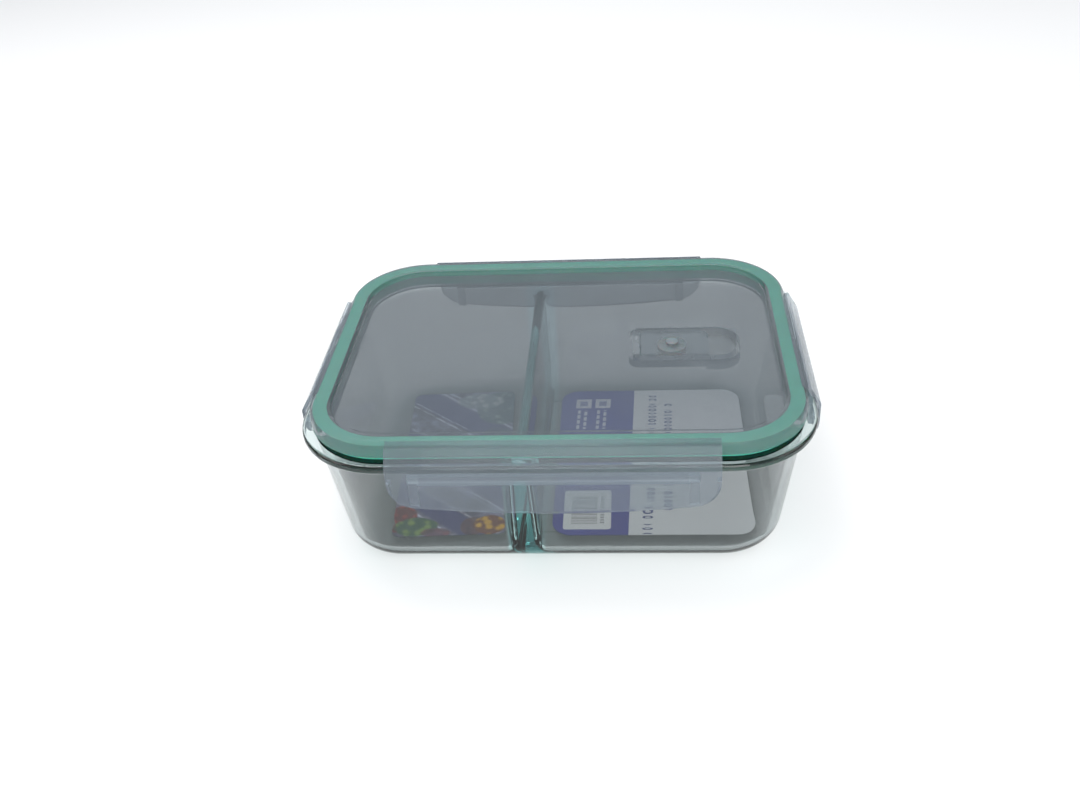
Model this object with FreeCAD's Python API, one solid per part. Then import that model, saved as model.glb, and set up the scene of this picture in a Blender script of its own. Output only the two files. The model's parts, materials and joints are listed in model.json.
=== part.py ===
"""Two-compartment glass bento lunch box with a clip-on lid.

Millimetres. +X runs along the box, -Y is the front and +Z is up. The origin is
the centre of the flat base. Each piece is one solid in its own STEP file.
"""
import FreeCAD, Part
import math
import os

V = FreeCAD.Vector
UP = V(0, 0, 1)

# ---- Glass base -------------------------------------------------------------
flange_length = 223.0        # over the flange, along X
flange_width = 169.0         # over the flange, along Y
flange_corner_r = 39.5
flange_thickness = 4.0
flange_round = 1.7           # rounding of the flange's outer edges
flange_overhang = 5.1        # flange edge beyond the wall below it
glass_height = 64.6          # base to the top of the glass
wall_corner_r = 35.0         # plan rounding of the wall where it meets the flange
wall_draft = 8.4             # how much the wall leans in from flange to foot
wall_thickness = 4.0
floor_thickness = 5.0
heel_r = 12.0                # outside rounding from wall to base
foot_recess_inset = 8.0      # width of the flat ring that the box stands on
foot_recess_depth = 0.6
floor_fillet_r = 6.0         # inside rounding from wall to floor
rim_inner_round = 1.2

divider_x = -14.8
divider_top_thickness = 4.6
divider_draft_deg = 1.6
divider_drop = 7.8           # divider's crown below the glass rim
divider_corner_r = 5.0       # plan rounding where the divider meets the walls

# ---- Lid --------------------------------------------------------------------
rim_inset = 4.4              # lid edge inside the flange edge
crest_rise = 8.9             # lid crest above the glass rim
skirt_gap = 1.9              # lid skirt above the glass rim
rim_wall = 1.6
crest_thickness = 1.8
crest_round = 4.0            # outer edge of the crest
crest_inner_round = 1.5
locating_depth = 2.0         # locating wall below the glass rim
locating_clearance = 3.2     # locating wall to the inside of the glass
panel_drop = 2.4             # panel below the crest
panel_thickness = 2.0
panel_fillet_r = 0.7
gate_mark_r = 2.4
gate_mark_rise = 0.35
gate_dimple_r = 1.1

# ---- Seal -------------------------------------------------------------------
seal_clearance = 0.15
seal_body_height = 6.0
seal_outer_lip = 3.8         # width of the lip that rests on the glass
seal_lip_clearance = 0.4     # hanging lip to the inside of the glass
seal_inner_lip_drop = 1.0    # inner lip below the glass rim

# ---- Side flaps -------------------------------------------------------------
flap_thickness = 1.6         # the flap's upper edge is a round bead this thick, on the hinge axis
hinge_film_gap = 0.25        # rim face to the bead
hinge_drop = 2.2             # hinge axis below the crest
hinge_root_thickness = 0.6   # thin root that the film hinge grows from
hinge_root_clearance = 0.25  # root to the bead
flap_side_clearance = 0.4    # plate to the flange edge
flap_bend_drop = 7.4         # hinge axis to the bend where the slope meets the plate
flap_bend_r = 2.4            # outside of the bend
flap_end_margin = 3.5        # flap end inside the rim's straight run
flap_drop = 29.6             # hinge axis to the lower edge
flap_corner_r = 12.0
flap_bow = 3.0               # how far the lower edge bows down at its middle
hook_engagement = 2.3        # hook under the flange
hook_clearance = 0.5         # hook below the flange
hook_thickness = 4.4
hook_round = 0.9
hook_end_margin = 8.5        # hook end inside the flap end
hook_leg_width = 4.0
hook_leg_depth = 1.6
end_wall_thickness = 1.4     # turned-in edge at each end of a flap

# ---- Steam vent -------------------------------------------------------------
vent_hinge_x = 37.9
tab_length = 30.3            # hinge axis to the free end
tab_half_width = 10.1
tab_thickness = 1.8
tab_corner_r = 5.0
tab_root_r = 0.3
tab_recess = 0.3             # tab's top below the panel's top
tab_bead_r = 0.9
tab_side_clearance = 1.9
tab_lip_length = 4.4
tab_lip_drop = 1.2
land_length = 3.2            # ledge that carries the tab's film hinge
land_film_gap = 0.4
land_thickness = 1.6
pocket_depth = 4.0
pocket_floor = 1.7
pocket_wall = 1.8
pocket_corner_r = 3.0
notch_corner_r = 8.5
notch_length = 12.2          # finger notch beyond the tab's free end
notch_extra_depth = 1.6
plug_offset = 13.4           # plug centre from the hinge axis
plug_head_r = 6.6
plug_stem_r = 3.9
plug_tip_r = 3.2
plug_hole_clearance = 0.35
plug_seat_clearance = 0.1
plug_tip_reach = 0.5         # stem tip below the pocket floor
plug_neck_r = 2.0
plug_button_r = 2.8
plug_button_rise = 0.5

# ---- Printed cards and sticker ----------------------------------------------
card_thickness = 0.35
card_margin = 0.6            # card edge inside the flat of the floor
card_end_margin = 5.4        # card edge inside the flat at the front and back
card_corner_r = 9.0
left_card_corner_r = 4.0
left_card_trim_wall = 6.8    # left card is cut narrower than its floor: at the wall side
left_card_trim_divider = 2.6 # and at the divider side
left_card_turn = 2.8         # degrees that the loose left card lies askew
sticker_length = 22.0
sticker_width = 28.0
sticker_thickness = 0.12
sticker_edge_x = 4.9         # sticker edge from the card's divider side
sticker_edge_y = 3.6         # sticker edge from the card's front edge
sticker_corner_r = 1.5

# ---- Derived sizes ----------------------------------------------------------
MARGIN = 2.0                 # how far cutting tools run past what they cut
TOUCHING = 1e-4              # closer than this counts as touching
flange_half_x = flange_length / 2
flange_half_y = flange_width / 2
flange_bottom = glass_height - flange_thickness
wall_half_x = flange_half_x - flange_overhang
wall_half_y = flange_half_y - flange_overhang
draft_slope = wall_draft / flange_bottom

crest_z = glass_height + crest_rise
skirt_bottom = glass_height + skirt_gap
rim_half_x = flange_half_x - rim_inset
rim_half_y = flange_half_y - rim_inset
rim_corner_r = flange_corner_r - rim_inset
panel_top = crest_z - panel_drop
panel_bottom = panel_top - panel_thickness
channel_top = crest_z - crest_thickness
locating_bottom = glass_height - locating_depth

hinge_offset = hinge_film_gap + flap_thickness / 2
hinge_z = crest_z - hinge_drop
flap_reach = rim_inset - hinge_offset + flap_side_clearance + flap_thickness

pocket_x0 = vent_hinge_x - tab_bead_r - land_film_gap - land_length
pocket_x1 = vent_hinge_x + tab_length + notch_length
pocket_half_width = tab_half_width + tab_side_clearance
pocket_floor_top = panel_top - pocket_depth
pocket_bottom = pocket_floor_top - pocket_floor
tab_top = panel_top - tab_recess
tab_bottom = tab_top - tab_thickness
vent_hinge_z = tab_top - tab_bead_r
plug_x = vent_hinge_x + plug_offset


# ---- Helpers ----------------------------------------------------------------
def plan_wire(x0, x1, y0, y1, radii, z):
    """Level rectangle with rounded corners: radii at (x1,y1), (x0,y1), (x0,y0), (x1,y0)."""
    corners = [(x1, y1, 0), (x0, y1, 90), (x0, y0, 180), (x1, y0, 270)]
    arcs = []
    for (x, y, start), r in zip(corners, radii):
        cx = x - math.copysign(r, x - (x0 + x1) / 2)
        cy = y - math.copysign(r, y - (y0 + y1) / 2)
        points = []
        for step in (0, 45, 90):
            angle = math.radians(start + step)
            points.append(V(cx + r * math.cos(angle), cy + r * math.sin(angle), z))
        arcs.append(points)
    edges = []
    for here, following in zip(arcs, arcs[1:] + arcs[:1]):
        edges.append(Part.Arc(*here).toShape())
        if here[2].distanceToPoint(following[0]) > TOUCHING:
            edges.append(Part.makeLine(here[2], following[0]))
    return Part.Wire(edges)


def ring_wire(half_x, half_y, radius, z):
    """Rounded rectangle about the Z axis."""
    return plan_wire(-half_x, half_x, -half_y, half_y, (radius,) * 4, z)


def prism(wire, height):
    """Upright solid on a level wire."""
    return Part.Face(wire).extrude(UP * height)


def taper(low, high):
    """Straight-sided solid between two level wires."""
    return Part.makeLoft([low, high], True, True)


def edges_at(shape, z):
    """Edges of a shape that lie in the level plane at z."""
    found = []
    for edge in shape.Edges:
        box = edge.BoundBox
        if abs(box.ZMin - z) < TOUCHING and abs(box.ZMax - z) < TOUCHING:
            found.append(edge)
    return found


def band(outer, inner, z, height):
    """Upright ring between two rounded rectangles given as (half_x, half_y, radius)."""
    solid = prism(ring_wire(*outer, z), height)
    return solid.cut(prism(ring_wire(*inner, z - MARGIN), height + 2 * MARGIN))


# ---- Glass base -------------------------------------------------------------
def wall_plan(inset, z):
    """(half_x, half_y, radius) of the drafted wall at height z, moved in by inset."""
    lean = inset + draft_slope * (flange_bottom - z)
    return wall_half_x - lean, wall_half_y - lean, wall_corner_r - lean


def divider_half(z):
    """Half the divider's thickness at height z."""
    slope = math.tan(math.radians(divider_draft_deg))
    return divider_top_thickness / 2 + slope * (glass_height - divider_drop - z)


def compartment_wire(side, z):
    """Inside outline of the compartment on one side of the divider, at height z."""
    half_x, half_y, radius = wall_plan(wall_thickness, z)
    face = divider_x + side * divider_half(z)
    near = divider_corner_r
    if side < 0:
        return plan_wire(-half_x, face, -half_y, half_y, (near, radius, radius, near), z)
    return plan_wire(face, half_x, -half_y, half_y, (radius, near, near, radius), z)


def compartment(side):
    """Tool that hollows one compartment, with the floor's edge rounded."""
    tool = taper(compartment_wire(side, floor_thickness),
                 compartment_wire(side, glass_height + MARGIN))
    return tool.makeFillet(floor_fillet_r, edges_at(tool, floor_thickness))


def over_divider():
    """Tool that opens the space above the divider and leaves it a rounded crown."""
    crown_r = divider_top_thickness / 2
    crown_z = glass_height - divider_drop
    reach = crown_r + divider_corner_r + MARGIN
    wires = []
    for z in (crown_z, glass_height + MARGIN):
        half_y = wall_plan(wall_thickness, z)[1]
        wires.append(Part.makePolygon([
            V(divider_x - reach, -half_y, z), V(divider_x + reach, -half_y, z),
            V(divider_x + reach, half_y, z), V(divider_x - reach, half_y, z),
            V(divider_x - reach, -half_y, z)]))
    opening = taper(*wires)
    half_y = wall_plan(wall_thickness, crown_z - crown_r)[1]
    shoulder = Part.makeBox(2 * reach, 2 * half_y, crown_r,
                            V(divider_x - reach, -half_y, crown_z - crown_r))
    crown = Part.makeCylinder(crown_r, 2 * half_y + 2 * MARGIN,
                              V(divider_x, -half_y - MARGIN, crown_z - crown_r), V(0, 1, 0))
    return opening.fuse(shoulder.cut(crown))


def glass_base():
    """Pressed glass box: flange, drafted walls, rounded heel and one divider."""
    body = taper(ring_wire(*wall_plan(0, 0), 0), ring_wire(*wall_plan(0, flange_bottom), flange_bottom))
    body = body.makeFillet(heel_r, edges_at(body, 0))
    flange = prism(ring_wire(flange_half_x, flange_half_y, flange_corner_r, flange_bottom), flange_thickness)
    rims = edges_at(flange, flange_bottom) + edges_at(flange, glass_height)
    glass = body.fuse(flange.makeFillet(flange_round, rims))
    opening = compartment(-1).fuse([compartment(1), over_divider()])
    glass = glass.cut(opening)
    inner_rim = [e for e in edges_at(glass, glass_height)
                 if e.BoundBox.XMax < wall_half_x and e.BoundBox.XMin > -wall_half_x
                 and e.BoundBox.YMax < wall_half_y and e.BoundBox.YMin > -wall_half_y]
    glass = glass.makeFillet(rim_inner_round, inner_rim)
    half_x, half_y, radius = wall_plan(heel_r + foot_recess_inset, 0)
    recess = prism(ring_wire(half_x, half_y, radius, -MARGIN), foot_recess_depth + MARGIN)
    return glass.cut(recess)


# ---- Lid --------------------------------------------------------------------
def rim_plan(inset):
    """(half_x, half_y, radius) of the lid's rim moved in by inset."""
    return rim_half_x - inset, rim_half_y - inset, rim_corner_r - inset


def locating_plan(inset):
    """(half_x, half_y, radius) of the locating wall's outer face moved in by inset."""
    half_x, half_y, radius = wall_plan(wall_thickness + locating_clearance, locating_bottom)
    return half_x - inset, half_y - inset, radius - inset


def pocket_prism(grow, z, height):
    """Prism of the vent pocket's outline: square at the hinge, round at the finger notch."""
    corner = pocket_corner_r + grow
    nose = notch_corner_r + grow
    half_width = pocket_half_width + grow
    wire = plan_wire(pocket_x0 - grow, pocket_x1 + grow, -half_width, half_width,
                     (nose, corner, corner, nose), z)
    return prism(wire, height)


def notch_prism(grow, z, height):
    """The part of the pocket's outline beyond the tab's free end."""
    start = pocket_x1 - notch_length - grow
    keep = Part.makeBox(notch_length + 2 * grow + MARGIN, 4 * pocket_half_width, height,
                        V(start, -2 * pocket_half_width, z))
    return pocket_prism(grow, z, height).common(keep)


def rim_run(turns):
    """(straight length of the rim, distance of its face from the centre) on one side."""
    if turns % 2:
        return 2 * (rim_half_y - rim_corner_r), rim_half_x
    return 2 * (rim_half_x - rim_corner_r), rim_half_y


def hinge_root(turns):
    """Thin ledge along one side of the rim, just short of the flap's bead."""
    run, face = rim_run(turns)
    length = run - 2 * flap_end_margin
    reach = hinge_film_gap - hinge_root_clearance
    root = Part.makeBox(length, rim_wall + reach, hinge_root_thickness,
                        V(-length / 2, -face - reach, hinge_z - hinge_root_thickness / 2))
    root.rotate(V(0, 0, 0), UP, 90 * turns)
    return root


def lid_shell():
    """Lid: crest with its seal channel, skirt, locating wall, sunk panel and vent pocket."""
    shell = prism(ring_wire(*rim_plan(0), locating_bottom), crest_z - locating_bottom)
    shell = shell.makeFillet(crest_round, edges_at(shell, crest_z))
    sunk = prism(ring_wire(*locating_plan(rim_wall), panel_top), panel_drop + MARGIN)
    shell = shell.cut(sunk)
    inner_edge = locating_plan(0)[0]
    crest = [e for e in edges_at(shell, crest_z) if max(e.BoundBox.XMax, -e.BoundBox.XMin) < inner_edge]
    shell = shell.makeFillet(crest_inner_round, crest)
    shell = shell.makeFillet(panel_fillet_r, edges_at(shell, panel_top))
    channel = band(rim_plan(rim_wall), locating_plan(0), locating_bottom - MARGIN,
                   channel_top - locating_bottom + MARGIN)
    below_skirt = band(rim_plan(-MARGIN), locating_plan(0), locating_bottom - MARGIN,
                       skirt_bottom - locating_bottom + MARGIN)
    under_panel = prism(ring_wire(*locating_plan(rim_wall), locating_bottom - MARGIN),
                        panel_bottom - locating_bottom + MARGIN)
    shell = shell.cut([channel, below_skirt, under_panel])
    deep_top = pocket_floor_top - notch_extra_depth
    deep_bottom = pocket_bottom - notch_extra_depth
    shell = shell.fuse([
        pocket_prism(pocket_wall, pocket_bottom, panel_bottom - pocket_bottom + panel_thickness / 2),
        notch_prism(pocket_wall, deep_bottom, panel_bottom - deep_bottom + panel_thickness / 2)])
    shell = shell.cut([
        pocket_prism(0, pocket_floor_top, pocket_depth + MARGIN),
        notch_prism(0, deep_top, notch_extra_depth + MARGIN)])
    land_top = vent_hinge_z + land_thickness / 2
    land = Part.makeBox(land_length + pocket_wall, 2 * tab_half_width, land_top - pocket_bottom,
                        V(pocket_x0 - pocket_wall, -tab_half_width, pocket_bottom))
    vent_hole = Part.makeCylinder(plug_stem_r + plug_hole_clearance, pocket_floor + 2 * MARGIN,
                                  V(plug_x, 0, pocket_bottom - MARGIN))
    gate = Part.makeCylinder(gate_mark_r, gate_mark_rise + panel_thickness / 2,
                             V(0, 0, panel_top - panel_thickness / 2))
    dimple = Part.makeCylinder(gate_dimple_r, 2 * gate_mark_rise, V(0, 0, panel_top))
    shell = shell.fuse([land, gate] + [hinge_root(turns) for turns in range(4)])
    shell = shell.cut([vent_hole, dimple])
    return shell.removeSplitter()


def seal_ring():
    """Silicone seal: a body that fills the channel, a resting lip and a hanging lip."""
    outer = rim_plan(rim_wall + seal_clearance)
    inner = locating_plan(-seal_clearance)
    top = channel_top - seal_clearance
    body = band(outer, inner, top - seal_body_height, seal_body_height)
    lips_height = top - seal_body_height - glass_height
    resting = band(outer, rim_plan(rim_wall + seal_clearance + seal_outer_lip), glass_height, lips_height)
    hanging_z = glass_height - seal_inner_lip_drop
    hanging = band(wall_plan(wall_thickness + seal_lip_clearance, hanging_z), inner,
                   hanging_z, lips_height + seal_inner_lip_drop)
    return body.fuse([resting, hanging]).removeSplitter()


# ---- Side flaps -------------------------------------------------------------
def flap_outline(half_width, reach):
    """Upright slab cut to the flap's front view, with round lower corners and a bowed edge."""
    top = flap_thickness / 2 + MARGIN
    low = -flap_drop + flap_bow
    corner = flap_corner_r
    turn = math.radians(45)
    right = [V(half_width, 0, low + corner),
             V(half_width - corner + corner * math.cos(turn), 0, low + corner - corner * math.sin(turn)),
             V(half_width - corner, 0, low)]
    left = [V(-p.x, 0, p.z) for p in reversed(right)]
    edges = [Part.makeLine(V(half_width, 0, top), right[0]),
             Part.Arc(*right).toShape(),
             Part.Arc(right[2], V(0, 0, -flap_drop), left[0]).toShape(),
             Part.Arc(*left).toShape(),
             Part.makeLine(left[2], V(-half_width, 0, top)),
             Part.makeLine(V(-half_width, 0, top), V(half_width, 0, top))]
    slab = Part.Face(Part.Wire(edges)).extrude(V(0, 2 * reach, 0))
    slab.translate(V(0, -reach, 0))
    return slab


def flap_sheet(half_width):
    """Bent sheet: round bead on the axis, slope out past the flange, upright plate."""
    half = flap_thickness / 2
    slope = math.atan2(flap_reach - half, flap_bend_drop)
    bend = half * math.tan(slope / 2)
    across = V(0, -half * math.cos(slope), half * math.sin(slope))
    outer_bend = V(0, -flap_reach, -flap_bend_drop + bend)
    inner_bend = V(0, -flap_reach + flap_thickness, -flap_bend_drop - bend)
    section = [across, outer_bend, V(0, -flap_reach, -flap_drop),
               V(0, -flap_reach + flap_thickness, -flap_drop), inner_bend, -across]
    section = [p + V(-half_width, 0, 0) for p in section]
    sheet = Part.Face(Part.makePolygon(section + section[:1])).extrude(V(2 * half_width, 0, 0))
    for place, radius in ((outer_bend, flap_bend_r), (inner_bend, flap_bend_r - flap_thickness)):
        bends = [e for e in sheet.Edges if abs(e.BoundBox.YMin - place.y) < TOUCHING
                 and abs(e.BoundBox.ZMin - place.z) < TOUCHING and abs(e.BoundBox.ZMax - place.z) < TOUCHING]
        sheet = sheet.makeFillet(radius, bends)
    return sheet.fuse(Part.makeCylinder(half, 2 * half_width, V(-half_width, 0, 0), V(1, 0, 0)))


def flap(run):
    """One flap hanging from an axis on X, facing -Y, for a straight stretch of rim run long."""
    half_width = run / 2 - flap_end_margin
    inside = flap_reach - flap_thickness
    hook_half = half_width - hook_end_margin
    hook_top = flange_bottom - hook_clearance - hinge_z
    nose = inside - flap_side_clearance - hook_engagement
    root = inside + flap_thickness / 2
    hook = Part.makeBox(2 * hook_half, root - nose, hook_thickness,
                        V(-hook_half, -root, hook_top - hook_thickness))
    tip = [e for e in hook.Edges if abs(e.BoundBox.YMin + nose) < TOUCHING]
    hook = hook.makeFillet(hook_round, tip)
    ribs = []
    for x, width in ((-hook_half, hook_leg_width), (hook_half - hook_leg_width, hook_leg_width),
                     (-half_width, end_wall_thickness), (half_width - end_wall_thickness, end_wall_thickness)):
        ribs.append(Part.makeBox(width, root - inside + hook_leg_depth,
                                 hook_top - hook_thickness / 2 + flap_drop,
                                 V(x, -root, -flap_drop)))
    shape = flap_sheet(half_width).fuse([hook] + ribs)
    return shape.common(flap_outline(half_width, flap_reach + MARGIN)).removeSplitter()


def placed_flap(turns):
    """Flap hung on one side of the rim: 0 front, 1 right, 2 back, 3 left."""
    run, face = rim_run(turns)
    shape = flap(run)
    shape.translate(V(0, -face - hinge_offset, hinge_z))
    shape.rotate(V(0, 0, 0), UP, 90 * turns)
    return shape


# ---- Steam vent -------------------------------------------------------------
def tab_prism(z, height):
    """Prism of the vent tab's outline, with its free end rounded."""
    wire = plan_wire(vent_hinge_x, vent_hinge_x + tab_length, -tab_half_width, tab_half_width,
                     (tab_corner_r, tab_root_r, tab_root_r, tab_corner_r), z)
    return prism(wire, height)


def vent_flap():
    """Tab that carries the vent plug, with a hinge bead and a lift lip."""
    lip_z = tab_bottom - tab_lip_drop
    lip_height = tab_lip_drop + tab_thickness / 2
    lip_end = Part.makeBox(tab_lip_length + MARGIN, 4 * tab_half_width, lip_height,
                           V(vent_hinge_x + tab_length - tab_lip_length, -2 * tab_half_width, lip_z))
    lip = tab_prism(lip_z, lip_height).common(lip_end)
    bead = Part.makeCylinder(tab_bead_r, 2 * tab_half_width,
                             V(vent_hinge_x, -tab_half_width, vent_hinge_z), V(0, 1, 0))
    neck_hole = Part.makeCylinder(plug_neck_r, tab_thickness + 2 * MARGIN,
                                  V(plug_x, 0, tab_bottom - MARGIN))
    return tab_prism(tab_bottom, tab_thickness).fuse([lip, bead]).cut(neck_hole).removeSplitter()


def vent_plug():
    """Silicone plug: conical stem for the vent hole, sealing head, neck and button."""
    seat = pocket_floor_top + plug_seat_clearance
    tip_z = pocket_bottom - plug_tip_reach
    stem = Part.makeCone(plug_tip_r, plug_stem_r, seat - tip_z, V(plug_x, 0, tip_z))
    head = Part.makeCylinder(plug_head_r, tab_bottom - seat, V(plug_x, 0, seat))
    neck = Part.makeCylinder(plug_neck_r, tab_thickness, V(plug_x, 0, tab_bottom))
    button = Part.makeCylinder(plug_button_r, plug_button_rise, V(plug_x, 0, tab_top))
    return stem.fuse([head, neck, button]).removeSplitter()


# ---- Printed cards and sticker ----------------------------------------------
def card_plan(side):
    """(x0, x1, half_y) of the card that lies in one compartment."""
    half_x, half_y, _ = wall_plan(wall_thickness + floor_fillet_r, floor_thickness)
    near = divider_x + side * (divider_half(floor_thickness) + floor_fillet_r + card_margin)
    far = side * (half_x - card_margin)
    return min(near, far), max(near, far), half_y - card_end_margin


def right_card():
    """Loose printed card on the floor of the larger compartment."""
    x0, x1, half_y = card_plan(1)
    return prism(plan_wire(x0, x1, -half_y, half_y, (card_corner_r,) * 4, floor_thickness), card_thickness)


def left_card():
    """Narrower loose card, lying a little askew on the floor of the smaller compartment."""
    x0, x1, half_y = card_plan(-1)
    x0 = x0 + left_card_trim_wall
    x1 = x1 - left_card_trim_divider
    wire = plan_wire(x0, x1, -half_y, half_y, (left_card_corner_r,) * 4, floor_thickness)
    shape = prism(wire, card_thickness)
    shape.rotate(V((x0 + x1) / 2, 0, 0), V(0, 0, 1), left_card_turn)
    return shape


def barcode_sticker():
    """Small label on the right-hand card."""
    x0, _, half_y = card_plan(1)
    x = x0 + sticker_edge_x
    y = -half_y + sticker_edge_y
    wire = plan_wire(x, x + sticker_length, y, y + sticker_width, (sticker_corner_r,) * 4,
                     floor_thickness + card_thickness)
    return prism(wire, sticker_thickness)


# ---- Build ------------------------------------------------------------------
PIECES = {
    "glass_base": glass_base,
    "lid_shell": lid_shell,
    "seal_ring": seal_ring,
    "front_flap": lambda: placed_flap(0),
    "right_flap": lambda: placed_flap(1),
    "back_flap": lambda: placed_flap(2),
    "left_flap": lambda: placed_flap(3),
    "vent_flap": vent_flap,
    "vent_plug": vent_plug,
    "left_card": left_card,
    "right_card": right_card,
    "barcode_sticker": barcode_sticker,
}

os.makedirs("parts", exist_ok=True)
for name, build in PIECES.items():
    shape = build()
    if shape.ShapeType == "Compound" and len(shape.Solids) == 1:
        shape = shape.Solids[0]
    print(name, "valid", shape.isValid(), "solids", len(shape.Solids), "cm3", round(shape.Volume / 1000, 2))
    shape.exportStep("parts/" + name + ".step")
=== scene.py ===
"""Look of a divided glass lunch box with a clip-on lid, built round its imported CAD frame.

Meshes are in metres and places in the finishes are in millimetres, both in the frame's own axes:
+X along the box, -Y the front, +Z up.
"""

import json
import logging
import math
from dataclasses import dataclass
from enum import Enum
from typing import Any, Mapping, Protocol, Sequence, Union

import bmesh
import bpy
from mathutils import Matrix, Vector


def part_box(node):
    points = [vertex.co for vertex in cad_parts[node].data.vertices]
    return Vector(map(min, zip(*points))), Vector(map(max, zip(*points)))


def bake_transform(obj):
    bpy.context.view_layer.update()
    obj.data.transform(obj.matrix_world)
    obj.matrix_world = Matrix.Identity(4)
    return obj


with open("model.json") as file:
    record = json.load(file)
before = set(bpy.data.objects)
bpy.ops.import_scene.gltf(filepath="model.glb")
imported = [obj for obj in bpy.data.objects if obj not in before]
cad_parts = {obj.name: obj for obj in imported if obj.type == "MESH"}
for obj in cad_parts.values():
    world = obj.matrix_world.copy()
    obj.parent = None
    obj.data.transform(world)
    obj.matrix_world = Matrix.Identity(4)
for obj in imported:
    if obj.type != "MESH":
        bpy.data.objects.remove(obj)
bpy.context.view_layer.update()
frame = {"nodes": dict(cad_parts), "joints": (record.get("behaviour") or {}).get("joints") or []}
MM = 0.001
GOLDEN = 0.618      # steps of this share of a whole spread evenly without repeating
UP = Vector((0, 0, 1))
Colour = tuple[float, float, float]
Span = tuple[float, float]
Value = Union["Sock", float]
LOG = logging.getLogger("lunch_box")


# ---- Shader writing ----------------------------------------------------------
@dataclass(frozen=True)
class Sock:
    """One output of a node, with arithmetic that adds Math nodes."""

    graph: "Graph"
    socket: bpy.types.NodeSocket | None

    def _math(self, operation: str, *values: Value) -> "Sock":
        """Add a Math node on these values."""
        return self.graph.add("ShaderNodeMath", {"operation": operation}, dict(enumerate(values)))

    def output(self, name: str) -> "Sock":
        """Another output of the same node."""
        return Sock(self.graph, self.socket.node.outputs[name])

    def __add__(self, other: Value) -> "Sock":
        """Sum."""
        return self._math("ADD", self, other)

    def __radd__(self, other: Value) -> "Sock":
        """Sum, reflected."""
        return self._math("ADD", other, self)

    def __sub__(self, other: Value) -> "Sock":
        """Difference."""
        return self._math("SUBTRACT", self, other)

    def __rsub__(self, other: Value) -> "Sock":
        """Difference, reflected."""
        return self._math("SUBTRACT", other, self)

    def __mul__(self, other: Value) -> "Sock":
        """Product."""
        return self._math("MULTIPLY", self, other)

    def __rmul__(self, other: Value) -> "Sock":
        """Product, reflected."""
        return self._math("MULTIPLY", other, self)

    def __truediv__(self, other: Value) -> "Sock":
        """Quotient."""
        return self._math("DIVIDE", self, other)

    def __rtruediv__(self, other: Value) -> "Sock":
        """Quotient, reflected."""
        return self._math("DIVIDE", other, self)

    def fraction(self) -> "Sock":
        """Part after the decimal point."""
        return self._math("FRACT", self)

    def whole(self) -> "Sock":
        """Largest whole number below."""
        return self._math("FLOOR", self)

    def rise(self, low: float, high: float, bottom: float = 0.0, top: float = 1.0) -> "Sock":
        """Smooth step from bottom at low to top at high."""
        return self.graph.add("ShaderNodeMapRange", {"interpolation_type": "SMOOTHSTEP"},
                              {0: self, 1: low, 2: high, 3: bottom, 4: top})

    def fall(self, low: float, high: float) -> "Sock":
        """Smooth step from 1 at low to 0 at high."""
        return self.rise(low, high, 1.0, 0.0)

    def within(self, low: float, high: float, soft: float) -> "Sock":
        """1 between low and high, falling to 0 over the width soft."""
        return self.rise(low - soft, low + soft) * self.fall(high - soft, high + soft)


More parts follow.
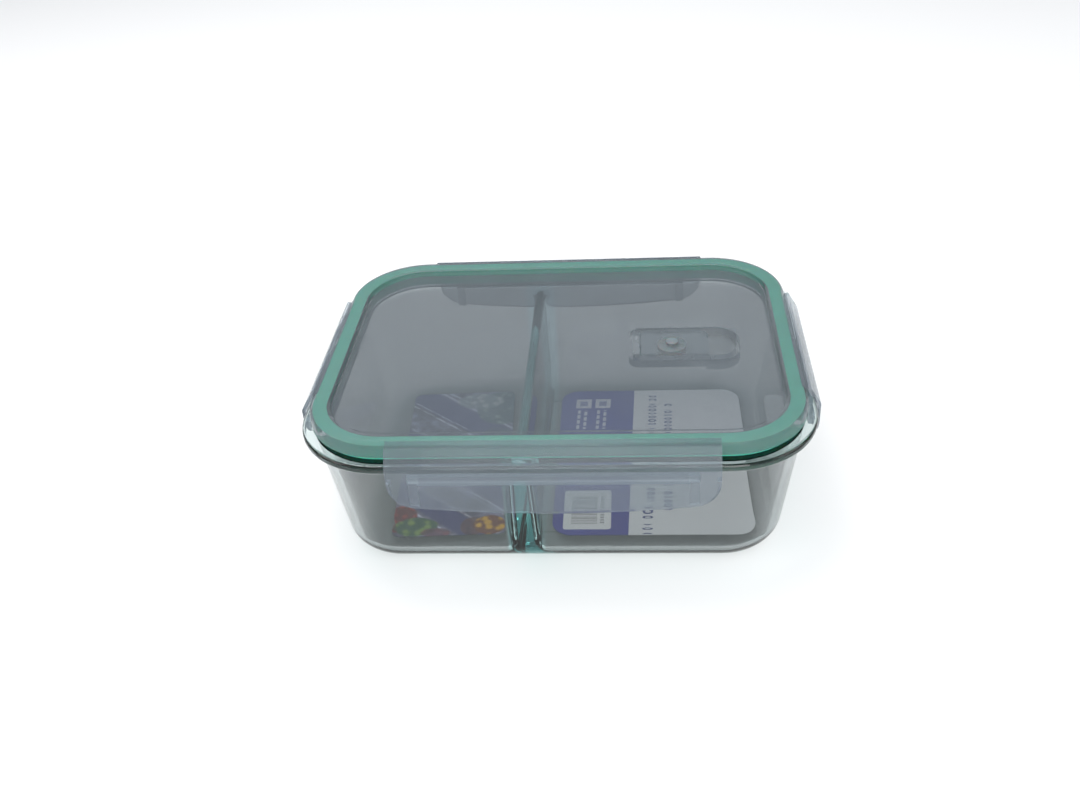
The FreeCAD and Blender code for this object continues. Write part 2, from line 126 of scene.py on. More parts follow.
class Graph:
    """A material's nodes and the one method that makes them."""

    def __init__(self, name: str) -> None:
        """Start an empty material.

        Args:
            name: the material's name.
        """
        self.material = bpy.data.materials.new(name)
        self.material.use_nodes = True
        self.tree = self.material.node_tree
        self.tree.nodes.clear()

    def add(self, kind: str, settings: Mapping[str, Any] | None = None,
            sockets: Mapping[Any, Any] | None = None) -> Sock:
        """Make a node.

        Args:
            kind: the node's type.
            settings: its properties, set first.
            sockets: values or links of its inputs, by name or number.

        Returns:
            Its first shown output, or an empty Sock if it has none.
        """
        node = self.tree.nodes.new(kind)
        for key, value in (settings or {}).items():
            setattr(node, key, value)
        for key, value in (sockets or {}).items():
            if isinstance(value, Sock):
                self.tree.links.new(value.socket, node.inputs[key])
            elif node.inputs[key].type == "RGBA":
                node.inputs[key].default_value = (*value, 1.0)
            else:
                node.inputs[key].default_value = value
        shown = [output for output in node.outputs if output.enabled]
        return Sock(self, shown[0] if shown else None)

    def mix(self, factor: Value, first: Sock | Colour, second: Sock | Colour) -> Sock:
        """Colour between first and second."""
        return self.add("ShaderNodeMix", {"data_type": "RGBA"}, {0: factor, 6: first, 7: second})

    def mix_shader(self, factor: Value, first: Sock, second: Sock) -> Sock:
        """Shader between first and second."""
        return self.add("ShaderNodeMixShader", None, {0: factor, 1: first, 2: second})

    def place(self) -> Sock:
        """Point on the piece at rest, in metres."""
        return self.add("ShaderNodeTexCoord").output("Object")

    def axes(self) -> tuple[Sock, Sock, Sock]:
        """x, y and z of the point, in millimetres."""
        split = self.add("ShaderNodeSeparateXYZ", None, {0: self.place()})
        return tuple(split.output(axis) * (1.0 / MM) for axis in "XYZ")

    def noise(self, cell_mm: float, detail: float = 3.0, rough: float = 0.5) -> Sock:
        """Cloudy value from 0 to 1 whose blotches are about cell_mm across."""
        return self.add("ShaderNodeTexNoise", None, {
            "Vector": self.place(), "Scale": 1.0 / (cell_mm * MM), "Detail": detail,
            "Roughness": rough})

    def bump(self, height: Sock, depth_mm: float, strength: float) -> Sock:
        """Normal for a relief depth_mm deep."""
        return self.add("ShaderNodeBump", None, {
            "Height": height, "Distance": depth_mm * MM, "Strength": strength})

    def lamp_window(self, shader: Sock, tint: Colour) -> Sock:
        """Let lamp light through a see-through shader.

        Args:
            shader: how the surface looks.
            tint: share of the lamp light that each surface lets past.

        Returns:
            The shader with its window.
        """
        clear = self.add("ShaderNodeBsdfTransparent", None, {"Color": tint})
        lamp_ray = self.add("ShaderNodeLightPath").output("Is Shadow Ray")
        return self.mix_shader(lamp_ray, shader, clear)

    def finish(self, surface: Sock, volume: Sock | None = None) -> bpy.types.Material:
        """Join the surface, and the volume if there is one, to the material's output.

        Args:
            surface: the surface shader.
            volume: the volume shader.

        Returns:
            The finished material.
        """
        sockets = {"Surface": surface}
        if volume is not None:
            sockets["Volume"] = volume
        self.add("ShaderNodeOutputMaterial", None, sockets)
        return self.material


# ---- Glass and plastics ------------------------------------------------------
@dataclass(frozen=True)
class PressedGlass:
    """Clear soda-lime glass with painted shade in its tint: grey in thin walls and floor, greener in
    the divider, paler in the flange.
    """

    # painted shade: the walls, front, floor and divider are darkened to dim what is seen through the
    # glass; the flange is left near clear
    wall_tint: Colour = (0.40, 0.405, 0.41)
    front_tint: Colour = (0.52, 0.525, 0.53)
    floor_tint: Colour = (0.36, 0.365, 0.375)
    flange_tint: Colour = (0.86, 0.92, 0.91)
    divider_tint: Colour = (0.38, 0.46, 0.48)
    divider_end_tint: Colour = (0.60, 0.78, 0.78)
    front_edge: Span = (-66.0, -62.0)       # y over which the front wall gives way to the sides
    floor_level: Span = (4.0, 12.0)         # z over which the floor turns into wall
    flange_level: Span = (57.0, 61.0)       # z over which the wall turns into flange
    divider_span: Span = (-22.0, -7.5)      # x of the divider
    divider_blur: float = 1.0
    polish_cell: float = 60.0
    wave_cell: float = 30.0
    wave_depth: float = 0.05
    depth_tint: Colour = (0.35, 0.86, 0.82)
    depth_density: float = 14.0
    lamp_tint: Colour = (0.97, 0.98, 0.98)

    def _tint(self, g: Graph) -> Sock:
        """Colour of the glass from place to place, with painted shade darkening all but the flange.

        Args:
            g: the material's nodes.

        Returns:
            The colour.
        """
        x, y, z = g.axes()
        front = y.fall(*self.front_edge)
        walls = g.mix(front, self.wall_tint, self.front_tint)
        tint = g.mix(z.rise(*self.floor_level), self.floor_tint, walls)
        divider = g.mix(front, self.divider_tint, self.divider_end_tint)
        tint = g.mix(x.within(*self.divider_span, self.divider_blur), tint, divider)
        return g.mix(z.rise(*self.flange_level), tint, self.flange_tint)

    def material(self) -> bpy.types.Material:
        """Build the finish.

        Returns:
            The material.
        """
        g = Graph("clear_glass")
        glass = g.add("ShaderNodeBsdfPrincipled", None, {
            "Base Color": self._tint(g), "Transmission Weight": 1.0, "IOR": 1.5,
            "Roughness": g.noise(self.polish_cell).rise(0.3, 0.8, 0.0, 0.01),
            "Normal": g.bump(g.noise(self.wave_cell, 2.0), self.wave_depth, 0.6)})
        depth = g.add("ShaderNodeVolumeAbsorption", None, {
            "Color": self.depth_tint, "Density": self.depth_density})
        return g.finish(g.lamp_window(glass, self.lamp_tint), depth)


@dataclass(frozen=True)
class ThickPlaces:
    """Where the lid's plastic is thick enough to look milky, in millimetres from the centre."""

    short_sides: Span = (99.0, 100.0)       # |x| past which a point is on the left or right flap
    long_face: Span = (84.7, 84.85)         # |y| just inside the front and back flaps' plates
    short_face: Span = (111.7, 111.85)      # |x| just inside the left and right flaps' plates
    long_legs: Span = (55.5, 62.0)          # |x| of the legs under a long hook bar
    short_legs: Span = (28.5, 35.0)         # |y| of the legs under a short hook bar
    legs_blur: float = 20.0                 # in square millimetres, as the legs are found by square
    legs_top: Span = (60.4, 61.0)
    bar: Span = (55.6, 60.4)                # z of the hook bars
    bar_weight: float = 1.3
    legs_weight: float = 0.6
    pocket_x: Span = (32.6, 81.4)
    pocket_y: Span = (-13.0, 13.0)
    pocket_z: Span = (67.3, 70.9)
    pocket_weight: float = 0.5
    pocket_blur: float = 0.3
    level_blur: float = 0.1

    @staticmethod
    def _square(span: Span) -> Span:
        """Both ends squared."""
        return span[0] ** 2, span[1] ** 2

    def _hooks(self, g: Graph) -> Sock:
        """Mask of the hook bars and their legs.

        Args:
            g: the material's nodes.

        Returns:
            The mask.
        """
        x, y, z = g.axes()
        x_squared = x * x
        y_squared = y * y
        beside = x_squared.rise(*self._square(self.short_sides))
        ahead = 1.0 - beside
        inside = (y_squared.fall(*self._square(self.long_face)) * ahead
                  + x_squared.fall(*self._square(self.short_face)) * beside)
        legs = (x_squared.within(*self._square(self.long_legs), self.legs_blur) * ahead
                + y_squared.within(*self._square(self.short_legs), self.legs_blur) * beside)
        bars = z.within(*self.bar, self.level_blur) * self.bar_weight
        return inside * (bars + legs * z.fall(*self.legs_top) * self.legs_weight)

    def mask(self, g: Graph) -> Sock:
        """Mask of the hooks and of the vent pocket.

        Args:
            g: the material's nodes.

        Returns:
            The mask.
        """
        x, y, z = g.axes()
        pocket = (x.within(*self.pocket_x, self.pocket_blur)
                  * y.within(*self.pocket_y, self.pocket_blur)
                  * z.within(*self.pocket_z, self.level_blur))
        return self._hooks(g) + pocket * self.pocket_weight


@dataclass(frozen=True)
class FrostedPolypropylene:
    """Translucent natural polypropylene: see-through with a milky haze."""

    name: str
    haze: float = 0.25                      # milky share of the surface
    thick_haze: float = 0.25                # what the thick places add to it
    # painted shade: the clear share is darkened to dim what is seen through the lid
    tint: Colour = (0.52, 0.54, 0.56)
    haze_colour: Colour = (0.36, 0.41, 0.45)
    bending: float = 1.12                   # low, because the haze hides most refraction
    sheen: float = 0.35                     # glossy share of the haze, the rest glows through
    flow_cell: float = 22.0
    flow_spread: float = 0.1
    wave_cell: float = 9.0
    wave_depth: float = 0.03
    lamp_tint: Colour = (0.96, 0.97, 0.97)

    def material(self) -> bpy.types.Material:
        """Build the finish.

        Returns:
            The material.
        """
        g = Graph(self.name)
        clear = g.add("ShaderNodeBsdfPrincipled", None, {
            "Base Color": self.tint, "Transmission Weight": 1.0, "IOR": self.bending,
            "Roughness": 0.0})
        milk = g.add("ShaderNodeBsdfPrincipled", None, {
            "Base Color": self.haze_colour, "Roughness": 0.35, "IOR": 1.49,
            "Normal": g.bump(g.noise(self.wave_cell, 2.0), self.wave_depth, 0.4)})
        glow = g.add("ShaderNodeBsdfTranslucent", None, {"Color": self.haze_colour})
        amount = g.noise(self.flow_cell, 4.0).rise(
            0.25, 0.8, self.haze * (1.0 - self.flow_spread), self.haze * (1.0 + self.flow_spread))
        amount = amount + ThickPlaces().mask(g) * self.thick_haze
        hazy = g.mix_shader(amount, clear, g.mix_shader(self.sheen, milk, glow))
        return g.finish(g.lamp_window(hazy, self.lamp_tint))


@dataclass(frozen=True)
class Silicone:
    """Soft matt silicone rubber."""

    name: str
    colour: Colour
    shade: Colour
    see_through: float = 0.0
    roughness: float = 0.5
    roughness_spread: float = 0.06
    glow: float = 0.6
    glow_depth: float = 5.0
    cloud_cell: float = 9.0
    skin_cell: float = 0.35
    skin_depth: float = 0.012

    def material(self) -> bpy.types.Material:
        """Build the finish.

        Returns:
            The material.
        """
        g = Graph(self.name)
        cloud = g.noise(self.cloud_cell, 4.0)
        body = g.add("ShaderNodeBsdfPrincipled", None, {
            "Base Color": g.mix(cloud.rise(0.3, 0.7), self.shade, self.colour),
            "Roughness": cloud.rise(0.2, 0.8, self.roughness - self.roughness_spread,
                                    self.roughness + self.roughness_spread),
            "Subsurface Weight": self.glow, "Subsurface Scale": self.glow_depth * MM,
            "IOR": 1.41 - 0.3 * self.see_through, "Transmission Weight": self.see_through,
            "Normal": g.bump(g.noise(self.skin_cell, 2.0), self.skin_depth, 0.5)})
        return g.finish(body)


# ---- Printing ----------------------------------------------------------------
class Print(Enum):
    """What is printed on a card: each option's value is the card's node."""

    PANELS = "right_card"
    PICTURE = "left_card"


@dataclass(frozen=True)
class MarkRow:
    """One upright row of rounded blobs on a card, in millimetres."""

    left: float
    width: float
    ends: Span
    pitch: float

    def mask(self, x: Sock, y: Sock) -> Sock:
        """Blobs in word-like groups, none of them a letter.

        Args:
            x: place across the row.
            y: place along the row.

        Returns:
            The mask.
        """
        step = y / self.pitch + self.left
        across = (x - self.left - self.width / 2) / (self.width / 2)
        half = (step.whole() * GOLDEN).fraction() * 0.28 + 0.20
        along = (step.fraction() - 0.5) / half
        across_squared = across * across
        along_squared = along * along
        blob = (across_squared * 0.9 + along_squared).fall(0.75, 1.05)
        hole = (across_squared * 3.2 + along_squared * 4.0).fall(0.7, 1.1)
        word = (step / 7.0).fraction().within(0.04, 0.90, 0.01)
        return y.within(*self.ends, 0.2) * word * blob * (1.0 - hole * 0.85)


@dataclass(frozen=True)
class PanelPrint:
    """Blue panel with two plain icons, and a white panel with upright rows of marks."""

    blue: Colour = (0.030, 0.036, 0.270)
    white: Colour = (0.76, 0.77, 0.80)
    ink: Colour = (0.020, 0.040, 0.200)
    blue_depth: float = 1.25                # how much stronger the blue is in its cloudy patches
    lean: float = 0.03                      # the printing's slope across the card
    lean_from: float = 50.0                 # y that the slope is measured from
    blue_edge: Span = (33.4, 33.7)
    icon_lefts: Span = (3.4, 13.4)
    icon_size: float = 8.0
    icon_y: Span = (40.4, 48.6)
    icon_frame: float = 2.0
    caption_lefts: Span = (1.2, 4.6)        # from the icon's left edge
    caption_width: float = 1.6
    caption_y: Span = (22.0, 38.5)
    caption_rate: float = 0.22              # words per millimetre
    rows: tuple[MarkRow, ...] = (
        MarkRow(41.2, 4.2, (-33.0, 52.0), 3.1),
        MarkRow(49.4, 4.0, (-40.0, 44.0), 3.0),
        MarkRow(39.6, 5.0, (-56.0, -36.5), 4.0))

    def _icon(self, x: Sock, y: Sock, left: float) -> Sock:
        """Square icon with a weaker middle.

        Args:
            x: place across the card.
            y: place along the card.
            left: the icon's left edge.

        Returns:
            The mask.
        """
        low, high = self.icon_y
        right = left + self.icon_size
        inset = self.icon_frame
        square = x.within(left, right, 0.15) * y.within(low, high, 0.15)
        middle = x.within(left + inset, right - inset, 0.3) * y.within(low + inset, high - inset, 0.3)
        return square * (1.0 - 0.7 * middle)

    def _caption(self, x: Sock, y: Sock, icon_left: float, offset: float) -> Sock:
        """One upright line of bars beside an icon.

        Args:
            x: place across the card.
            y: place along the card.
            icon_left: the icon's left edge.
            offset: the line's place from that edge.

        Returns:
            The mask.
        """
        left = icon_left + offset
        words = (y * self.caption_rate + (icon_left * 0.31 + offset)).fraction()
        return (x.within(left, left + self.caption_width, 0.15) * y.within(*self.caption_y, 0.3)
                * words.within(0.10, 0.86, 0.03))

    def colour(self, g: Graph) -> Sock:
        """Colour of the print.

        Args:
            g: the material's nodes.

        Returns:
            The colour.
        """
        x, y, _ = g.axes()
        x = x - (y - self.lean_from) * self.lean
        deep = tuple(c * self.blue_depth for c in self.blue)
        blue = g.mix(g.noise(30.0).rise(0.3, 0.8), self.blue, deep)
        colour = g.mix(x.rise(*self.blue_edge), blue, self.white)
        for left in self.icon_lefts:
            colour = g.mix(self._icon(x, y, left) * 0.75, colour, self.white)
            for offset in self.caption_lefts:
                colour = g.mix(self._caption(x, y, left, offset) * 0.7, colour, self.white)
        for row in self.rows:
            colour = g.mix(row.mask(x, y), colour, self.ink)
        return colour


@dataclass(frozen=True)
class Food:
    """One patch of the picture: its centre and half sizes in millimetres, colours and strength."""

    spot: Span
    radii: Span
    light: Colour
    dark: Colour
    strength: float

    def mask(self, x: Sock, y: Sock, blur: float) -> Sock:
        """Soft ellipse.

        Args:
            x: place across the card.
            y: place along the card.
            blur: softness of the edge, as a share of the squared radius.

        Returns:
            The mask: 1 inside and 0 outside.
        """
        across = (x - self.spot[0]) / self.radii[0]
        along = (y - self.spot[1]) / self.radii[1]
        return (across * across + along * along).fall(1.0 - blur, 1.0 + blur)


@dataclass(frozen=True)
class PicturePrint:
    """Loose patches of salad, tomato and corn between dark blue bands and pale lines."""

    ground: tuple[Colour, Colour] = ((0.06, 0.065, 0.11), (0.27, 0.28, 0.42))
    band_colour: Colour = (0.035, 0.045, 0.17)
    line_colour: Colour = (0.66, 0.68, 0.80)
    slant: Span = (0.62, 0.78)              # direction across the bands
    bands: tuple[Span, ...] = ((-16.0, -1.0), (-46.0, -33.0), (-73.0, -62.0))
    lines: tuple[Span, ...] = (             # place across the bands, and strength
        (-17.4, 0.8), (-14.8, 0.5), (0.4, 0.8), (3.0, 0.6), (-32.0, 0.6),
        (-47.5, 0.8), (-49.6, 0.5), (-61.0, 0.6), (-75.0, 0.8))
    line_half: float = 0.45
    wobble: float = 9.0
    chunk_scale: float = 230.0
    foods: tuple[Food, ...] = (
        Food((-36.0, 42.0), (13.0, 15.0), (0.20, 0.27, 0.25), (0.05, 0.12, 0.13), 0.8),
        Food((-48.0, 48.0), (12.0, 7.0), (0.42, 0.45, 0.46), (0.20, 0.26, 0.30), 0.8),
        Food((-36.0, 16.0), (8.0, 9.0), (0.16, 0.24, 0.24), (0.06, 0.09, 0.13), 0.6),
        Food((-75.5, -45.0), (7.5, 9.5), (0.34, 0.035, 0.03), (0.09, 0.012, 0.02), 1.0),
        Food((-68.0, -50.5), (10.5, 6.5), (0.16, 0.28, 0.05), (0.02, 0.09, 0.05), 1.0),
        Food((-58.0, -54.5), (7.0, 3.0), (0.22, 0.05, 0.06), (0.08, 0.02, 0.05), 0.8),
        Food((-41.0, -50.0), (6.0, 6.5), (0.05, 0.025, 0.04), (0.10, 0.04, 0.04), 0.85),
        Food((-33.4, -49.0), (7.4, 6.6), (0.66, 0.37, 0.02), (0.15, 0.045, 0.02), 1.0))

    def colour(self, g: Graph) -> Sock:
        """Colour of the print.

        Args:
            g: the material's nodes.

        Returns:
            The colour.
        """
        x, y, _ = g.axes()
        chunks = g.add("ShaderNodeTexVoronoi", {"feature": "SMOOTH_F1"}, {
            "Vector": g.place(), "Scale": self.chunk_scale, "Smoothness": 0.4})
        cloud = g.noise(11.0, 5.0, 0.65)
        fine = g.noise(3.0, 4.0, 0.6)
        wobble = (cloud - 0.5) * self.wobble
        colour = g.mix(cloud.rise(0.35, 0.65), *self.ground)
        slant = x * self.slant[0] + y * self.slant[1] + wobble * 0.25
        for band in self.bands:
            colour = g.mix(slant.within(*band, 0.8) * 0.85, colour, self.band_colour)
        broken = fine.rise(0.35, 0.55)
        for place, strength in self.lines:
            line = slant.within(place - self.line_half, place + self.line_half, 0.4)
            colour = g.mix(line * broken * strength, colour, self.line_colour)
        pieces = (chunks + (fine - 0.5) * 0.5).rise(0.2, 0.55)
        ragged_x = x + wobble * 0.4
        ragged_y = y - wobble * 0.3
        for food in self.foods:
            mask = food.mask(ragged_x, ragged_y, 0.15) * food.strength
            colour = g.mix(mask, colour, g.mix(pieces, food.light, food.dark))
        return colour


@dataclass(frozen=True)
class PrintedCard:
    """Coated card with generic printing."""

    print: Print
    fibre_cell: float = 0.9
    fibre_depth: float = 0.02

    def material(self) -> bpy.types.Material:
        """Build the finish.

        Returns:
            The material.
        """
        g = Graph(f"{self.print.value}_print")
        printing = PanelPrint() if self.print is Print.PANELS else PicturePrint()
        fibre = g.noise(self.fibre_cell, 3.0)
        card = g.add("ShaderNodeBsdfPrincipled", None, {
            "Base Color": printing.colour(g), "Roughness": fibre.rise(0.2, 0.8, 0.32, 0.42),
            "Coat Weight": 0.15, "Normal": g.bump(fibre, self.fibre_depth, 0.3)})
        return g.finish(card)


@dataclass(frozen=True)
class BarLabel:
    """White paper label with plain bars, laid out in millimetres from its front left corner."""

    corner: Vector
    paper: Colour = (0.76, 0.77, 0.79)
    bar_ink: Colour = (0.12, 0.12, 0.14)
    row_ink: Colour = (0.16, 0.16, 0.20)
    bars_x: Span = (3.6, 15.6)
    row_x: Span = (17.0, 18.8)
    printed_y: Span = (3.4, 24.0)
    bar_rate: float = 1.1                   # bars per millimetre
    row_rate: float = 0.55                  # marks per millimetre in the row beside the bars
    blur: float = 0.1
    grain_cell: float = 0.6
    grain_depth: float = 0.01

    def _colour(self, g: Graph) -> Sock:
        """Colour of the label.

        Args:
            g: the material's nodes.

        Returns:
            The colour.
        """
        x, y, _ = g.axes()
        x = x - self.corner.x / MM
        y = y - self.corner.y / MM
        printed = y.within(*self.printed_y, self.blur)
        lines = y * self.bar_rate
        width = (lines.whole() * GOLDEN).fraction() * 0.45 + 0.2
        bars = (width - lines.fraction()).rise(-0.03, 0.03) * x.within(*self.bars_x, self.blur)
        colour = g.mix(bars * printed * 0.8, self.paper, self.bar_ink)
        marks = (y * self.row_rate).fraction().within(0.2, 0.85, 0.05)
        row = x.within(*self.row_x, self.blur) * printed * marks
        return g.mix(row * 0.7, colour, self.row_ink)

    def material(self) -> bpy.types.Material:
        """Build the finish.

        Returns:
            The material.
        """
        g = Graph("label_bars")
        grain = g.noise(self.grain_cell, 2.0)
        paper = g.add("ShaderNodeBsdfPrincipled", None, {
            "Base Color": self._colour(g), "Roughness": grain.rise(0.2, 0.8, 0.40, 0.52),
            "Normal": g.bump(grain, self.grain_depth, 0.3)})
        return g.finish(paper)


@dataclass(frozen=True)
class PaleFloor:
    """Smooth pale studio floor."""

    colour: Colour = (0.93, 0.93, 0.93)
    cloud_cell: float = 400.0
    cloud_shade: float = 0.985

    def material(self) -> bpy.types.Material:
        """Build the finish.

        Returns:
            The material.
        """
        g = Graph("pale_floor")
        shade = tuple(c * self.cloud_shade for c in self.colour)
        paint = g.add("ShaderNodeBsdfPrincipled", None, {
            "Base Color": g.mix(g.noise(self.cloud_cell, 2.0), self.colour, shade),
            "Roughness": 0.7, "Specular IOR Level": 0.2})
        return g.finish(paint)


# ---- Meshes ------------------------------------------------------------------
def new_piece(name: str, bm: bmesh.types.BMesh, material: bpy.types.Material) -> bpy.types.Object:
    """Turn a bmesh into a smooth object in the scene.

    Args:
        name: the piece's name.
        bm: its mesh, which is freed.
        material: its finish.

    Returns:
        The new object.
    """
    bmesh.ops.recalc_face_normals(bm, faces=bm.faces)
    mesh = bpy.data.meshes.new(name)
    bm.to_mesh(mesh)
    bm.free()
    mesh.materials.append(material)
    mesh.polygons.foreach_set("use_smooth", [True] * len(mesh.polygons))
    obj = bpy.data.objects.new(name, mesh)
    bpy.context.scene.collection.objects.link(obj)
    return obj


def dress(node: str, material: bpy.types.Material) -> bpy.types.Object:
    """Give a CAD node its finish.

    Args:
        node: the node's name.
        material: its finish.

    Returns:
        The node's object.
    """
    obj = frame["nodes"][node]
    obj.data.materials.clear()
    obj.data.materials.append(material)
    return obj


def axis_point(joint: str) -> Vector:
    """A point on a joint's axis."""
    return Vector(next(j for j in frame["joints"] if j["name"] == joint)["pos_m"])


@dataclass
class FilmHinge:
    """Thin web of the lid's plastic that bends where a flap or the vent tab turns.

    Its path runs from the lid to the moving piece, as (outward, up) points from the hinge's axis.
    """

    name: str
    moving: str
    axis: Vector
    outward: Vector
    half_length: float
    path: Sequence[Span]
    material: bpy.types.Material
    thickness: float = 0.30 * MM
    bend_length: float = 1.0 * MM

    def _outline(self, points: Sequence[Vector]) -> list[Vector]:
        """Outline of the web's section.

        Args:
            points: the path.

        Returns:
            The outline's points: out along one face and back along the other.
        """
        faces: tuple[list[Vector], list[Vector]] = ([], [])
        for index, point in enumerate(points):
            before = points[max(index - 1, 0)]
            after = points[min(index + 1, len(points) - 1)]
            heading = (after - before).normalized()
            across = Vector((-heading.y, heading.x)) * self.thickness / 2
            faces[0].append(point + across)
            faces[1].append(point - across)
        return faces[0] + faces[1][::-1]

    def _mesh(self, points: Sequence[Vector]) -> bmesh.types.BMesh:
        """Sweep the section along the axis.

        Args:
            points: the path.

        Returns:
            The closed web.
        """
        outline = self._outline(points)
        along = self.outward.cross(UP)
        bm = bmesh.new()
        ends = []
        for end in (-1, 1):
            centre = self.axis + along * (end * self.half_length)
            ends.append([bm.verts.new(centre + self.outward * p.x + UP * p.y) for p in outline])
        first, last = ends
        count = len(outline)
        for here in range(count):
            after = (here + 1) % count
            bm.faces.new((first[here], first[after], last[after], last[here]))
        for side in ends:
            for step in range(len(points) - 1):
                other = count - 1 - step
                bm.faces.new((side[step], side[step + 1], side[other - 1], side[other]))
        return bm

    def build(self) -> bpy.types.Object:
        """Make the web.

        Returns:
            The web's object.
        """
        points = [Vector(point) for point in self.path]
        piece = new_piece(self.name, self._mesh(points), self.material)
        bend_start = self.axis + self.outward * (points[-1].x - self.bend_length)
        self.axis + self.outward * points[-1].x
        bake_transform(piece)
        return piece


# ---- Sub-assemblies ----------------------------------------------------------
class SubAssembly(Protocol):
    """What main asks of each sub-assembly."""

    def build(self) -> list[bpy.types.Object]:
        """Make and dress the pieces."""


class Side(Enum):
    """A side of the box: its quarter turns from the front."""

    FRONT = 0
    RIGHT = 1
    BACK = 2
    LEFT = 3

    @property
    def word(self) -> str:
        """The side's name in lower case."""
        return self.name.lower()

    @property
    def outward(self) -> Vector:
        """Direction from the box's centre to the side."""
        return Matrix.Rotation(math.radians(90 * self.value), 3, "Z") @ Vector((0, -1, 0))


@dataclass
class GlassBase:
    """The pressed glass box."""

    finish: PressedGlass

    def build(self) -> list[bpy.types.Object]:
        """Dress the glass."""
        return [dress("glass_base", self.finish.material())]


@dataclass
class Cards:
    """The printed cards and the label that lie in the box."""

    def build(self) -> list[bpy.types.Object]:
        """Dress both cards and the label."""
        cards = [dress(kind.value, PrintedCard(kind).material()) for kind in Print]
        return [*cards, dress("barcode_sticker", BarLabel(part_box("barcode_sticker")[0]).material())]


@dataclass
class Lid:
    """The lid's shell and its seal."""

    shell: FrostedPolypropylene
    seal: Silicone

    def build(self) -> list[bpy.types.Object]:
        """Dress the shell and the seal."""
        return [dress("lid_shell", self.shell.material()), dress("seal_ring", self.seal.material())]


@dataclass
class LockingFlap:
    """One flap and the film hinge that it hangs on."""

    side: Side
    material: bpy.types.Material
    crest_round: float = 4.0 * MM
    crest_centre: Span = (-5.05 * MM, -1.8 * MM)    # (outward, up) from the hinge's axis
    film_clearance: float = 0.22 * MM
    film_angles: tuple[int, ...] = (66, 60, 54, 48, 42, 36, 30)
    film_end_margin: float = 0.1 * MM
    bead_r: float = 0.8 * MM
    bead_join: Span = (-0.72, 0.62)                 # where the film meets the bead, in its radii

    def _path(self) -> list[Span]:
        """Path of the film.

        Returns:
            Points from the crest's outer round to the flap's bead.
        """
        radius = self.crest_round + self.film_clearance
        turns = [math.radians(angle) for angle in self.film_angles]
        path = [(self.crest_centre[0] + radius * math.cos(turn),
                 self.crest_centre[1] + radius * math.sin(turn)) for turn in turns]
        return [*path, (self.bead_r * self.bead_join[0], self.bead_r * self.bead_join[1])]

    def film(self) -> FilmHinge:
        """Film hinge of this flap.

        Returns:
            The hinge, not yet built.
        """
        word = self.side.word
        outward = self.side.outward
        low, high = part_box(f"{word}_flap")
        half_length = abs((high - low).dot(outward.cross(UP))) / 2 - self.film_end_margin
        return FilmHinge(f"{word}_film_hinge", f"{word}_latch", axis_point(f"{word}_flap_hinge"),
                         outward, half_length, self._path(), self.material)

    def build(self) -> list[bpy.types.Object]:
        """Dress the flap and add its film hinge."""
        return [dress(f"{self.side.word}_flap", self.material), self.film().build()]


@dataclass
class SteamVent:
    """The vent tab, its film hinge and its plug."""

    tab: bpy.types.Material
    plug: Silicone
    film_half: float = 9.6 * MM
    film_reach: float = 1.6 * MM
    film_bend: float = 0.85         # share of the reach at which the film starts to bend
    bead_r: float = 0.9 * MM
    bead_join: Span = (1.2, 0.95)   # where the film nears and meets the bead, in its radii

    def build(self) -> list[bpy.types.Object]:
        """Dress the tab and the plug and add the film.

        Returns:
            The three objects.
        """
        near, met = self.bead_join
        path = [(-self.film_reach, 0.0), (-self.film_reach * self.film_bend, 0.0),
                (-self.bead_r * near, 0.0), (-self.bead_r * met, 0.0)]
        film = FilmHinge("vent_film_hinge", "vent", axis_point("vent_tab_hinge"),
                         Vector((1, 0, 0)), self.film_half, path, self.tab)
        return [dress("vent_flap", self.tab), dress("vent_plug", self.plug.material()), film.build()]


# ---- Studio ------------------------------------------------------------------
@dataclass(frozen=True)
class Lamp:
    """Square soft lamp."""

    name: str
    place: tuple[float, float, float]
    size: float
    power: float

    def build(self, target: Vector) -> None:
        """Hang the lamp.

        Args:
            target: the point that it shines at.
        """
        data = bpy.data.lights.new(self.name, "AREA")
        data.shape = "SQUARE"
        data.size = self.size
        data.energy = self.power
        place = Vector(self.place)
        turned = (target - place).to_track_quat("-Z", "Y").to_matrix().to_4x4()
        obj = bpy.data.objects.new(self.name, data)
        obj.matrix_world = Matrix.Translation(place) @ turned
        bpy.context.scene.collection.objects.link(obj)


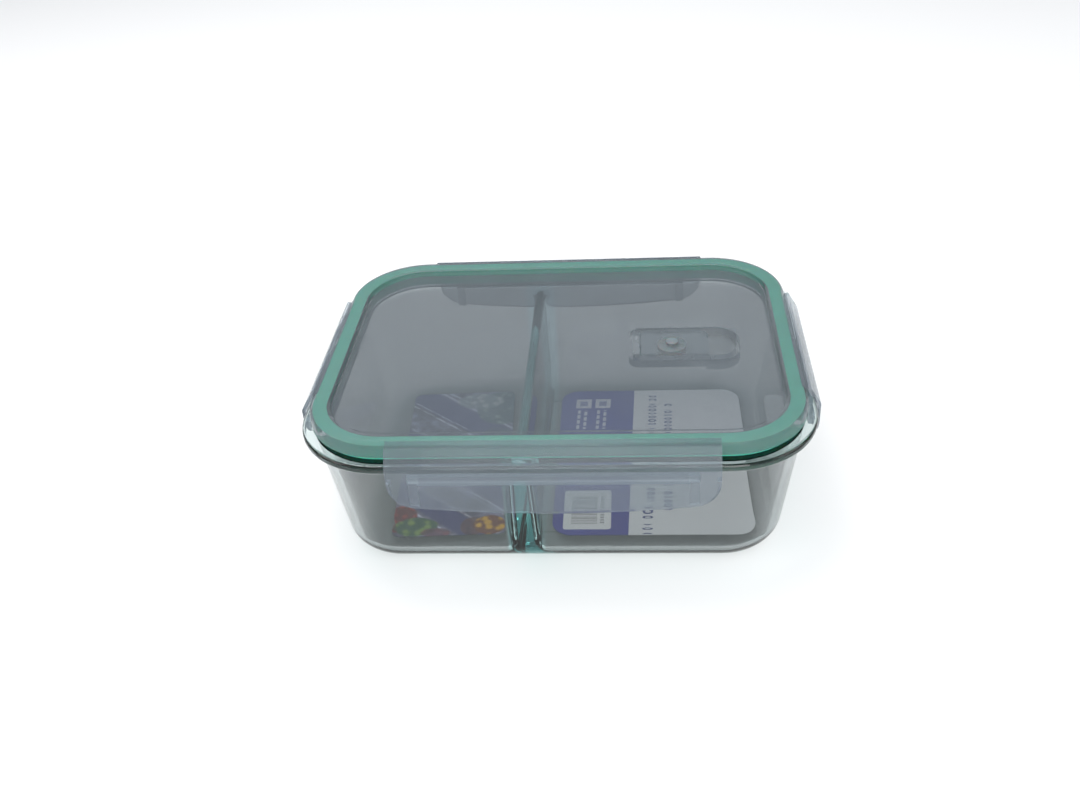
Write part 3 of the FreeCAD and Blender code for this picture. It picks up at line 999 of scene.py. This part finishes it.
@dataclass
class Studio:
    """Floor, lights and camera."""

    eye: tuple[float, float, float] = (0.03497, -0.44051, 0.34259)
    tilt_deg: float = 34.65
    turn_deg: float = 6.02
    roll_deg: float = -4.19
    lens: float = 37.30
    sensor: float = 36.0
    floor_half: float = 4.0
    floor_gap: float = 0.2 * MM
    aim: tuple[float, float, float] = (0.0, 0.0, 0.03)
    lamps: tuple[Lamp, ...] = (
        Lamp("overhead", (-0.30, 0.45, 1.4), 0.9, 11.5),
        Lamp("front", (0.2, -1.5, 0.9), 1.2, 19.0),
        Lamp("side_left", (-1.3, -0.3, 0.9), 0.9, 5.0),
        Lamp("side_right", (1.3, -0.2, 0.8), 0.9, 4.4))
    surround: Colour = (0.93, 0.96, 1.0)
    surround_strength: float = 0.50

    def floor(self) -> None:
        """Plain floor under the box."""
        bm = bmesh.new()
        bmesh.ops.create_grid(bm, x_segments=8, y_segments=8, size=self.floor_half)
        obj = new_piece("floor", bm, PaleFloor().material())
        obj.location.z = -self.floor_gap

    def lights(self) -> None:
        """Soft lamps overhead, in front and at the sides, and a pale surrounding."""
        for lamp in self.lamps:
            lamp.build(Vector(self.aim))
        world = bpy.data.worlds.new("surround")
        world.use_nodes = True
        back = world.node_tree.nodes["Background"]
        back.inputs["Color"].default_value = (*self.surround, 1)
        back.inputs["Strength"].default_value = self.surround_strength
        bpy.context.scene.world = world

    def camera(self) -> None:
        """Camera above the front edge, looking down at the lid."""
        tilt, turn, roll = (math.radians(a) for a in (self.tilt_deg, self.turn_deg, self.roll_deg))
        back = Vector((math.sin(turn) * math.cos(tilt), -math.cos(turn) * math.cos(tilt),
                       math.sin(tilt)))
        level = Vector((math.cos(turn), math.sin(turn), 0))
        rise = back.cross(level)
        right = level * math.cos(roll) + rise * math.sin(roll)
        up = rise * math.cos(roll) - level * math.sin(roll)
        turned = Matrix((right, up, back)).transposed().to_4x4()
        data = bpy.data.cameras.new("camera")
        data.lens = self.lens
        data.sensor_width = self.sensor
        obj = bpy.data.objects.new("camera", data)
        obj.matrix_world = Matrix.Translation(Vector(self.eye)) @ turned
        bpy.context.scene.collection.objects.link(obj)
        bpy.context.scene.camera = obj

    def build(self) -> None:
        """Make the whole studio, with light paths deep enough for the glass."""
        self.floor()
        self.lights()
        self.camera()
        scene = bpy.context.scene
        scene.view_settings.view_transform = "Standard"
        scene.cycles.max_bounces = 20
        scene.cycles.transmission_bounces = 16
        scene.cycles.transparent_max_bounces = 24
        scene.cycles.caustics_reflective = False
        scene.cycles.caustics_refractive = False


# ---- Build -------------------------------------------------------------------
LID_PLASTIC = FrostedPolypropylene("lid_polypropylene")
FLAP_PLASTIC = FrostedPolypropylene("flap_polypropylene", haze=0.22, thick_haze=0.45,
                                    tint=(0.72, 0.76, 0.79), haze_colour=(0.44, 0.50, 0.56))
TAB_PLASTIC = FrostedPolypropylene("tab_polypropylene", haze=0.16, thick_haze=0.12,
                                   tint=(0.78, 0.81, 0.83))
MINT_SILICONE = Silicone("mint_silicone", (0.14, 0.74, 0.52), (0.12, 0.68, 0.47))
CLEAR_SILICONE = Silicone("clear_silicone", (0.62, 0.66, 0.68), (0.56, 0.61, 0.63),
                          see_through=0.7)


def main() -> None:
    """Build every sub-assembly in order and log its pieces."""
    logging.basicConfig(level=logging.INFO, format="%(message)s")
    Studio().build()
    flap_material = FLAP_PLASTIC.material()
    groups: list[SubAssembly] = [
        GlassBase(PressedGlass()),
        Cards(),
        Lid(LID_PLASTIC, MINT_SILICONE),
        *(LockingFlap(side, flap_material) for side in Side),
        SteamVent(TAB_PLASTIC.material(), CLEAR_SILICONE),
    ]
    for group in groups:
        for piece in group.build():
            LOG.info("%s: %s", type(group).__name__, piece.name)


if __name__ == "__main__":
    main()
